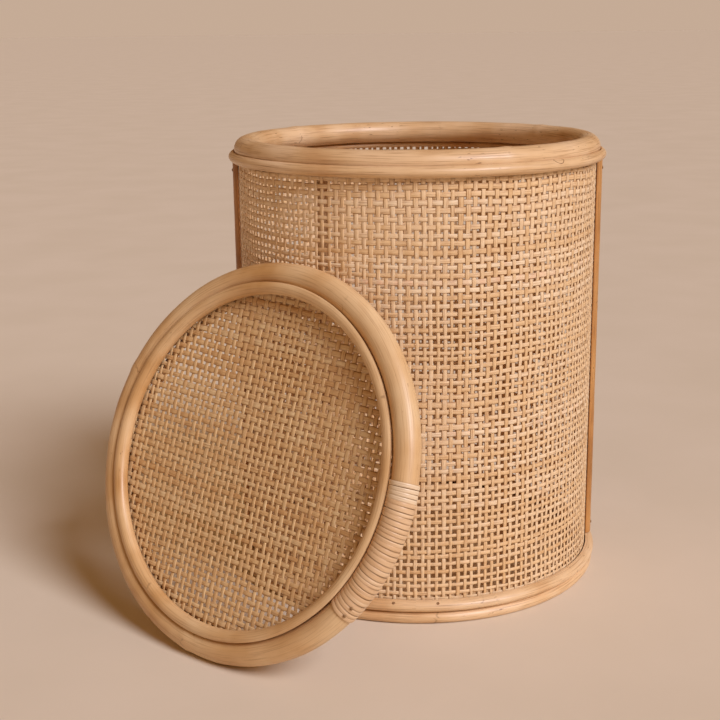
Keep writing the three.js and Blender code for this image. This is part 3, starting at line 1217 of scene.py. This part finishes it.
@dataclass
class BinPosts:
    """The posts over the wall's two seams and the uprights inside the wall."""

    face: float = 143.5 * MM
    width: float = 13.0 * MM
    depth: float = 5.0 * MM
    low: float = 18.9 * MM
    high: float = 336.3 * MM
    upright_radius: float = 4.4 * MM
    upright_reach: float = 135.8 * MM
    upright_low: float = 23.9 * MM
    upright_high: float = 332.7 * MM
    upright_count: int = 6
    steps: int = 70
    scar_share: float = 0.64      # how far up a pole its sheath scar is

    def build(self, dark: Finish, pale: Finish) -> None:
        """Makes the posts and the uprights."""
        post = self.post()
        left = copy_piece(post, "left_seam_post_strip", Matrix.Rotation(math.pi, 4, "Z"))
        settle(left, "left_seam_post_strip", Body.BIN, dark, ["seam_post_left"])
        settle(post, "right_seam_post_strip", Body.BIN, dark, ["seam_post_right"])
        first = self.upright()
        for index in range(self.upright_count - 1, -1, -1):
            name = f"inner_upright_pole_{index + 1}"
            turn = Matrix.Rotation(FULL_TURN * index / self.upright_count, 4, "Z")
            piece = copy_piece(first, name, turn) if index else first
            settle(piece, name, Body.BIN, pale, [f"inner_upright_{index + 1}"])

    def section(self, sides: int, radius: float, reach: float, low: float) -> Piece:
        """A level filled circle at +X, in edit mode and wholly selected.

        Args:
            sides: how many it has.
            radius: its radius.
            reach: its middle's distance from the axis.
            low: its height.

        Returns:
            The circle.
        """
        piece = primitive(
            bpy.ops.mesh.primitive_circle_add, vertices=sides, radius=radius, fill_type="NGON",
            location=(reach, 0, low),
        )
        edit(piece)
        select_whole()
        return piece

    def post(self) -> Piece:
        """A half-round strip standing at +X, flat side to the wall."""
        piece = self.section(24, self.width / 2, self.face, self.low)
        bpy.ops.transform.resize(
            value=(self.depth / (self.width / 2), 1, 1), center_override=(self.face, 0, self.low),
        )
        bpy.ops.mesh.bisect(
            plane_co=(self.face, 0, 0), plane_no=(-1, 0, 0), clear_outer=True, use_fill=False,
        )
        self.raise_up(piece, self.low, self.high)
        self.finish_upright(piece, self.width / 2, 0.35 * MM)
        return piece

    def upright(self) -> Piece:
        """A thin pole standing inside the wall at +X."""
        piece = self.section(16, self.upright_radius, self.upright_reach, self.upright_low)
        self.raise_up(piece, self.upright_low, self.upright_high)
        self.finish_upright(piece, self.upright_radius, 0.25 * MM)
        return piece

    def raise_up(self, piece: Piece, low: float, high: float) -> None:
        """Extrudes a filled section upwards and divides its length."""
        select_whole()
        bpy.ops.mesh.extrude_region_move(TRANSFORM_OT_translate={"value": (0, 0, high - low)})
        bpy.ops.mesh.select_all(action="DESELECT")
        bpy.ops.mesh.select_mode(type="EDGE")
        middle = (low + high) / 2
        pick(piece, "edges", lambda p: abs(p.z - middle) < (high - low) / 4)
        bpy.ops.mesh.subdivide(number_cuts=self.steps)
        deselect_all()

    def finish_upright(self, piece: Piece, half: float, depth: float) -> None:
        """Rounds the ends, adds unevenness and lays the grain along Z."""
        face_outwards(piece, 40)
        ease(piece, 0.5 * MM, 2)
        weather(piece, depth, 30 * MM)
        places, corners, owners = corner_tables(piece.data)
        x, y, z = places[corners].T
        middle = (x.min() + x.max()) / 2
        turn = near_face(np.arctan2(y, x - middle), owners)
        write_grain(piece, np.stack([z, turn * half], axis=1))
        scar = self.low + self.scar_share * (self.high - self.low)
        write_attribute(piece.data, "node_distance", places[:, 2] - scar)


@dataclass
class BinBase:
    """The board and the crossed battens under it."""

    edge: float = 0.7 * MM

    def build(self, finish: Finish) -> None:
        """Makes the board and the three battens."""
        low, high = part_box("base_board")
        board = primitive(
            bpy.ops.mesh.primitive_cylinder_add, vertices=160, radius=high.x,
            depth=high.z - low.z, end_fill_type="NGON", location=(0, 0, (low.z + high.z) / 2),
        )
        made = [(board, "base_board_disc", "base_board")]
        for part in ("long", "front", "back"):
            node = f"base_batten_{part}"
            low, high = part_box(node)
            batten = primitive(
                bpy.ops.mesh.primitive_cube_add, size=1.0, location=(low + high) / 2,
                scale=high - low,
            )
            made.append((batten, f"{node}_strip", node))
        for piece, name, node in made:
            ease(piece, self.edge, 3)
            face_outwards(piece, 40)
            settle(piece, name, Body.BIN, finish, [node])


# ---------------------------------------------------------------- nails


@dataclass
class Nails:
    """Domed nail heads, modelled once and copied to each place."""

    radius: float = 1.2 * MM
    height: float = 0.6 * MM
    sunk: float = 0.2 * MM        # a nail driven home stands barely proud
    shoulder: float = 54.4        # how far the bottom trim's nails face upwards

    def build(self, finish: Finish) -> None:
        """Sets a head at every nail of the frame."""
        master = self.head()
        for name in sorted(frame["nodes"]):
            if "_nail_" not in name:
                continue
            low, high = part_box(name)
            body = Body.LID if name.startswith("lid") else Body.BIN
            outward = self.outward(name, (low + high) / 2)
            turn = outward.to_track_quat("Z", "Y").to_matrix().to_4x4()
            place = Matrix.Translation((low + high) / 2 - outward * self.sunk) @ turn
            piece = copy_piece(master, f"{name}_head", place)
            settle(piece, f"{name}_head", body, finish, [name])
        bpy.data.objects.remove(master, do_unlink=True)

    def outward(self, name: str, place: Vector) -> Vector:
        """Direction that a nail's head faces.

        Args:
            name: the nail's node.
            place: the middle of its head.

        Returns:
            A direction square to the surface that it is driven into.
        """
        if name.startswith("lid"):
            matrix = lid_place()
            local = matrix.inverted() @ place
            centre_line = Vector((local.x, local.y, 0)).normalized() * Lid.ring
            return (matrix.to_3x3() @ (local - centre_line)).normalized()
        rise = math.radians(self.shoulder) if name.startswith("bottom_trim") else 0.0
        level = Vector((place.x, place.y, 0)).normalized()
        return level * math.cos(rise) + Vector((0, 0, math.sin(rise)))

    def head(self) -> Piece:
        """One head, its face towards +Z."""
        piece = primitive(
            bpy.ops.mesh.primitive_cylinder_add, vertices=16, radius=self.radius,
            depth=self.height, end_fill_type="NGON",
        )
        edit(piece, "FACE")
        pick(piece, "faces", lambda p: p.z > self.height * 0.45)
        bpy.ops.mesh.inset(thickness=self.radius * 0.35, depth=0)
        bpy.ops.mesh.inset(thickness=self.radius * 0.3, depth=0)
        deselect_all()
        edit(piece)
        rim = self.height / 2
        pick(piece, "verts", lambda p: p.z > rim * 0.9 and math.hypot(p.x, p.y) > self.radius * 0.9)
        bpy.ops.transform.translate(value=(0, 0, -self.height * 0.45))
        pick(piece, "verts", lambda p: (
            p.z > rim * 0.9 and self.radius * 0.5 < math.hypot(p.x, p.y) < self.radius * 0.8
        ))
        bpy.ops.transform.translate(value=(0, 0, -self.height * 0.08))
        deselect_all()
        face_outwards(piece, 50)
        return piece


# ---------------------------------------------------------------- the lid


def lid_place() -> Matrix:
    """Where the lid leans: the joint's axis and range give its plane, its thick pole the middle."""
    joint = next(j for j in frame["joints"] if j["name"] == "lid_flip")
    across = -Vector(joint["axis"]).normalized()
    away = Vector((0, 0, 1)).cross(Vector(joint["axis"])).normalized()
    lean = math.radians(270 - joint["range_deg"][1])
    normal = (away * math.cos(lean) + Vector((0, 0, math.sin(lean)))).normalized()
    turn = Matrix((across, normal.cross(across), normal)).transposed().to_4x4()
    low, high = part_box("lid_rim_pole")
    return Matrix.Translation((low + high) / 2) @ turn


@dataclass
class Lid:
    """The lid: a thick pole, a thinner one each side that clamps its webbing, and a lashing.

    Attributes:
        nest: (radius, height) points of a slim pole's hollow, where the thick one lies.
        web_turn: the webbing's turn in the lid's plane.
        web_lean: how far its uprights lean from square.
        wrap_reach: the lashing's middle from the thick pole's centre line.
        pale_winds: how many winds at its start are pulled tight and show pale.
    """

    ring: float = 136.5 * MM
    pole: float = 9.5 * MM
    lip_middle: Pair = (126.5 * MM, 6.1 * MM)
    lip_half: Pair = (5.4 * MM, 5.4 * MM)
    nest: tuple[Pair, ...] = (
        (132.6 * MM, 9.2 * MM), (130.0 * MM, 7.6 * MM), (127.85 * MM, 5.0 * MM),
        (126.55 * MM, 1.3 * MM),
    )
    web_radius: float = 126.4 * MM
    web_pitch_across: float = 5.72 * MM
    web_pitch_up: float = 5.66 * MM
    web_widths: Pair = (3.45 * MM, 3.7 * MM)
    web_turn: float = -2.6
    web_lean: float = -3.5
    wrap_start: float = 4.5
    wrap_end: float = -37.0
    wrap_turns: float = 31.0
    wrap_reach: float = 10.30 * MM
    wrap_thickness: float = 0.62 * MM
    wrap_breadths: Pair = (0.72, 1.28)
    pale_winds: int = 4
    pale_breadth: float = 0.95
    wind_steps: int = 28

    def build(
        self, pole: Finish, cane: Finish, lashing: Finish,
    ) -> None:
        """Makes every piece of the lid in its own plane and leans it in place."""
        place = lid_place()
        rim = PoleRing(
            "lid_pole", self.ring, self.pole, 0.0, scars=(-97.0, -14.0, 64.0, 160.0), cut=-20.0,
            shift=7.7,
        )
        rings = [
            (rim, "lid_rim_pole"),
            (self.lip("lid_under_lip_pole", 1, (-120.0, 30.0, 133.0), 9.1), "lid_under_lip"),
            (self.lip("lid_top_lip_pole", -1, (-60.0, 75.0, 190.0), 10.3), "lid_top_lip"),
        ]
        for ring, node in rings:
            piece = ring.build()
            place_mesh(piece, place)
            settle(piece, ring.name, Body.LID, pole, [node])
        # the cane passed in here is a darker copy with painted shade for the lid's face
        for run in Run:
            piece = self.web(run)
            place_mesh(piece, place)
            stands_for = ["lid_webbing"] if run is Run.ROUND else []
            settle(piece, piece.name, Body.LID, cane, stands_for)
        wrap = self.lashing()
        place_mesh(wrap, place)
        settle(wrap, wrap.name, Body.LID, lashing, ["lid_joint_wrap"])

    def lip(self, name: str, side: int, scars: tuple[float, ...], shift: float) -> Strip:
        """One of the slim poles that clamp the webbing, hollowed to nest on the thick one.

        Args:
            name: the piece's name.
            side: 1 for the lid's underside, -1 for its top.
            scars: azimuths of its sheath scars.
            shift: moves its grain along.

        Returns:
            The strip, ready to build.
        """
        cuts = [((0.0, side * self.nest[-1][1]), (0.0, -float(side)))]
        for upper, lower in zip(self.nest, self.nest[1:]):
            out, rise = square_to(upper, lower)
            cuts.append(((lower[0], side * lower[1]), (out, side * rise)))
        return Strip(
            name, (self.lip_middle[0], side * self.lip_middle[1]), self.lip_half,
            cuts=tuple(cuts), scars=scars, cut=-60.0, shift=shift, unevenness=0.3 * MM,
        )

    def web(self, run: Run) -> Piece:
        """Weaves one run of the lid's webbing, cut to a circle.

        Args:
            run: which way the strands run.

        Returns:
            The piece, in the lid's own plane.
        """
        count = int(2 * self.web_radius / self.web_pitch_across) + 3
        webbing = Webbing(
            count, count, self.web_pitch_across, self.web_pitch_up, 41,
            upright_width=self.web_widths[0], round_width=self.web_widths[1], fine=3,
            drift=0.45 * MM, spread=0.09,
        )
        half = np.array([self.web_pitch_across, self.web_pitch_up]) * count / 2
        turn = math.radians(self.web_turn)
        lean = math.radians(self.web_lean)
        strands = []
        for place, height, widths, tone in webbing.lines(run):
            x, y = (place - half).T
            x = x + y * math.tan(lean)
            turned_x = x * math.cos(turn) - y * math.sin(turn)
            turned_y = x * math.sin(turn) + y * math.cos(turn)
            flat = np.stack([turned_x, turned_y, height], axis=1)
            inside = np.hypot(flat[:, 0], flat[:, 1]) < self.web_radius
            if inside.sum() < 4:
                continue
            outward = np.tile((0.0, 0.0, 1.0), (int(inside.sum()), 1))
            strands.append(Strand(flat[inside], outward, widths[inside], tone))
        name = f"lid_{'upright' if run is Run.UPRIGHT else 'level'}_strands"
        return strand_mesh(name, strands, webbing.thickness)

    def lashing(self) -> Piece:
        """One long strand wound tightly round the lid's thick pole."""
        rng = np.random.default_rng(7)
        per_turn = self.wind_steps
        winds = int(self.wrap_turns)
        pitch = math.radians(self.wrap_start - self.wrap_end) * self.ring / self.wrap_turns
        steps = int(self.wrap_turns * per_turn) + 1
        turn = np.arange(steps) / per_turn
        # no two winds are equally wide, and the first few are pulled tightest
        breadth = rng.uniform(*self.wrap_breadths, winds)
        breadth[:self.pale_winds] = self.pale_breadth
        breadth *= self.wrap_turns / breadth.sum()
        reached = np.concatenate([[0], np.cumsum(breadth)])
        wobble = smooth_field(rng, (steps, 1), per_turn * 0.6, 0.07)[:, 0]
        wound = np.interp(turn, np.arange(len(reached)), reached)
        progress = np.clip((wound + wobble) / self.wrap_turns, 0, 1)
        azimuth = np.radians(self.wrap_start + (self.wrap_end - self.wrap_start) * progress)
        swing = -turn * FULL_TURN + math.pi
        spread = np.stack([np.cos(azimuth), np.sin(azimuth), np.zeros(steps)], axis=1)
        outward = spread * np.cos(swing)[:, None] + np.array([0, 0, 1.0]) * np.sin(swing)[:, None]
        points = spread * self.ring + outward * self.wrap_reach
        own = np.interp(turn, np.arange(winds) + 0.5, breadth)
        widths = pitch * own * (1.02 + smooth_field(rng, (steps, 1), per_turn * 0.7, 0.03)[:, 0])
        strands = []
        for index in range(winds):
            part = slice(index * per_turn, (index + 1) * per_turn + 1)
            tone = 0.95 if index < self.pale_winds else float(rng.uniform(0.35, 0.75))
            strands.append(Strand(points[part], outward[part], widths[part], tone))
        return strand_mesh("lid_joint_lashing", strands, self.wrap_thickness, LASHING_SECTION)


# ---------------------------------------------------------------- studio


@dataclass(frozen=True)
class Studio:
    """The pale floor, the soft lights and the camera.

    Attributes:
        horizon: the surround's colour and strength where it meets the floor.
        overhead: its colour and strength above.
        blend: the span of heights, as sines, over which one turns into the other.
        sun_spread: the soft key's apparent width.
        sun_way: the azimuth and height that it comes from.
    """

    floor_half: float = 60.0
    horizon: tuple[str, float] = ("ffdec3", 0.561)
    overhead: tuple[str, float] = ("ffbe76", 0.235)
    blend: Pair = (0.02, 0.16)
    sun_colour: str = "f8f5ff"
    sun_energy: float = 2.8
    sun_spread: float = 26.0
    sun_way: Pair = (-44.0, 38.0)
    lens: float = 65.8
    camera_at: Triple = (0.005, -1.065, 0.4416)
    yaw_rad: float = -0.049
    pitch_rad: float = 0.250
    roll_rad: float = -0.012

    def build(self) -> None:
        """Sets the floor, lights, world and camera."""
        self.floor()
        self.lights()
        self.camera()

    def floor(self) -> None:
        """One large pale plane at the height that the bin stands on."""
        ground = primitive(
            bpy.ops.mesh.primitive_grid_add, x_subdivisions=4, y_subdivisions=4,
            size=2 * self.floor_half,
        )
        ground.name = "studio_floor"
        ground.data.materials.append(PaleStudioFloor().make())

    def lights(self) -> None:
        """A soft key from the right, the front and above, in an even pale surround."""
        world = bpy.data.worlds.new("studio")
        bpy.context.scene.world = world
        world.use_nodes = True
        tree = world.node_tree
        shade = tree.nodes["Background"]
        # the surround is warm and dim overhead, and as pale as the floor where they meet
        way = add_node(tree, "ShaderNodeTexCoord").outputs["Generated"]
        height = add_node(tree, "ShaderNodeSeparateXYZ", {0: way}).outputs["Z"]
        low, high = (
            tuple(level * strength for level in srgb(colour))
            for colour, strength in (self.horizon, self.overhead)
        )
        start, end = self.blend
        share = add_node(tree, "ShaderNodeMapRange", {0: height, 1: start, 2: end}).outputs[0]
        layers = {0: share, 6: low, 7: high}
        glow = add_node(tree, "ShaderNodeMix", layers, data_type="RGBA")
        tree.links.new(glow.outputs[2], shade.inputs["Color"])
        shade.inputs["Strength"].default_value = 1.0
        lamp = bpy.data.lights.new("key", "SUN")
        lamp.angle = math.radians(self.sun_spread)
        lamp.energy = self.sun_energy
        lamp.color = srgb(self.sun_colour)[:3]
        key = bpy.data.objects.new("key", lamp)
        azimuth, rise = (math.radians(angle) for angle in self.sun_way)
        towards = Vector((
            math.cos(azimuth) * math.cos(rise), math.sin(azimuth) * math.cos(rise), math.sin(rise),
        ))
        key.location = towards * 2
        key.rotation_euler = (-towards).to_track_quat("-Z", "Y").to_euler()
        bpy.context.collection.objects.link(key)

    def camera(self) -> None:
        """The camera, looking slightly down at the bin's front."""
        yaw, pitch, roll = self.yaw_rad, self.pitch_rad, self.roll_rad
        forward = Vector((
            math.sin(yaw) * math.cos(pitch), math.cos(yaw) * math.cos(pitch), -math.sin(pitch),
        ))
        level = Vector((math.cos(yaw), -math.sin(yaw), 0))
        above = level.cross(forward)
        right = level * math.cos(roll) + above * math.sin(roll)
        up = above * math.cos(roll) - level * math.sin(roll)
        data = bpy.data.cameras.new("camera")
        data.lens = self.lens
        data.sensor_width = 36.0
        data.clip_start = 0.05
        camera = bpy.data.objects.new("camera", data)
        camera.matrix_world = (
            Matrix.Translation(self.camera_at)
            @ Matrix((right, up, -forward)).transposed().to_4x4()
        )
        bpy.context.collection.objects.link(camera)
        bpy.context.scene.camera = camera
        bpy.context.scene.view_settings.view_transform = "Standard"


def main() -> None:
    """Builds the wastebasket piece by piece, then the studio round it."""
    logging.basicConfig(level=logging.INFO, format="%(message)s")
    pole = PeeledRattan().make()
    dark = PeeledRattan(
        name="amber_rattan", light="cd9858", body="bb8244", deep="9c662e", pore="6a4018",
        fleck="4a2c12",
    ).make()
    lid_pole = PeeledRattan(
        name="peeled_rattan_sanded", light="e9c99a", body="dcb480", deep="c7965a", pore_share=0.38,
        fleck_level=0.70,
    ).make()
    cane = CaneStrand().make()
    # painted shade: a darker, more saturated copy of the wall's cane for the lid's webbing, whose face
    # turns away from the key light
    lid_cane = CaneStrand(
        name="lid_cane",
        tones=(
            (0.0, "ba8749"), (0.2, "d0a36c"), (0.42, "ddb680"), (0.62, "e4c28f"), (0.82, "ebcf9f"),
            (1.0, "e2bb8d"),
        ),
    ).make()
    # its edge brown is painted shade along the lashing's edges
    lashing = CaneStrand(
        name="lashing_cane", edge="8a5a2e", half_width=1.9 * MM, stain_length=30 * MM,
        tones=((0.0, "cfa06c"), (0.4, "dfb88a"), (0.7, "e8c59a"), (1.0, "f0d8b4")),
        roughness=0.42, sheen_coat=0.12, fibre_share=0.35,
    ).make()
    ply = BirchPlywood().make()
    steel = DulledSteel().make()

    BinRings().build(pole)
    CaneWall("front", 180.0, "webbing_front", 11, tight_end=0.2).build(cane)
    CaneWall("back", 0.0, "webbing_back", 23, closeness=0.98).build(cane)
    BinPosts().build(dark, pole)
    BinBase().build(ply)
    Nails().build(steel)
    Lid().build(lid_pole, lid_cane, lashing)
    Studio().build()


if __name__ == "__main__":
    main()
